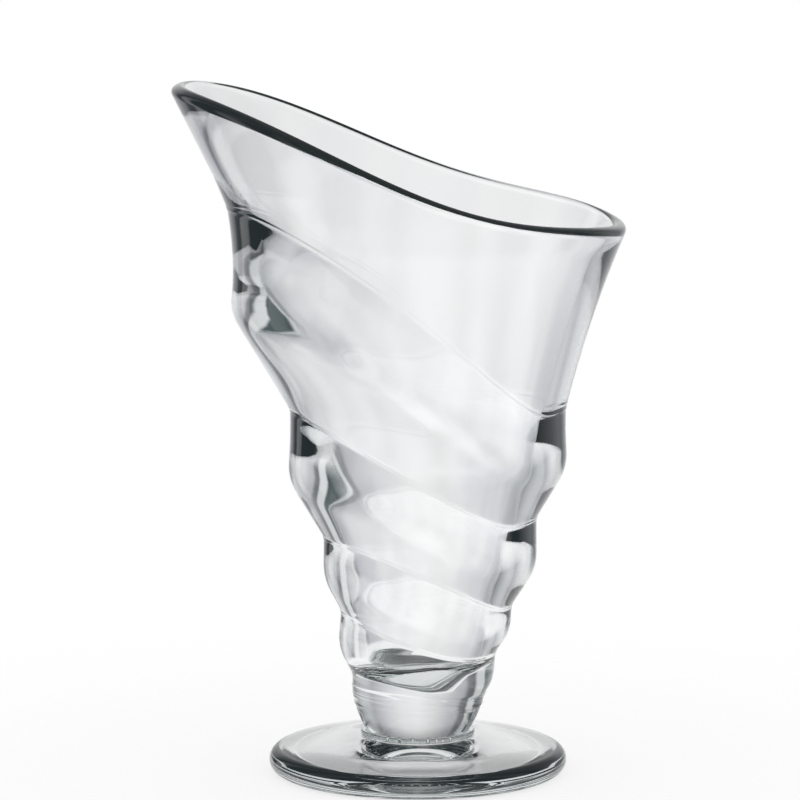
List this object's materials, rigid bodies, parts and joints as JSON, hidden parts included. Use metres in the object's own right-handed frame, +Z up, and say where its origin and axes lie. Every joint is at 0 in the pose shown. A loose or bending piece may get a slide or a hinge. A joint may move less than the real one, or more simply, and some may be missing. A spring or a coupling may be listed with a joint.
{
  "type": "ice cream dish",
  "caption": "Tall clear glass sundae dish: conical cup wound by a spiral of steps, slanted flared rim, short solid stub and thick round foot.",
  "frame": {"origin": "centre of the foot's flat underside, on the table", "axes": "+Z up the dish, +X towards the low side of the slanted rim, -Y towards the front, where the spiral sweeps down"},
  "size_m": [0.1127, 0.1106, 0.1731],
  "materials": {
    "clear_glass": "fire-polished clear pressed glass with a faint grey-green depth"
  },
  "bodies": {
    "root": {"spiral_bowl": "clear_glass", "joining_collar": "clear_glass", "foot": "clear_glass"}
  },
  "joints": []
}
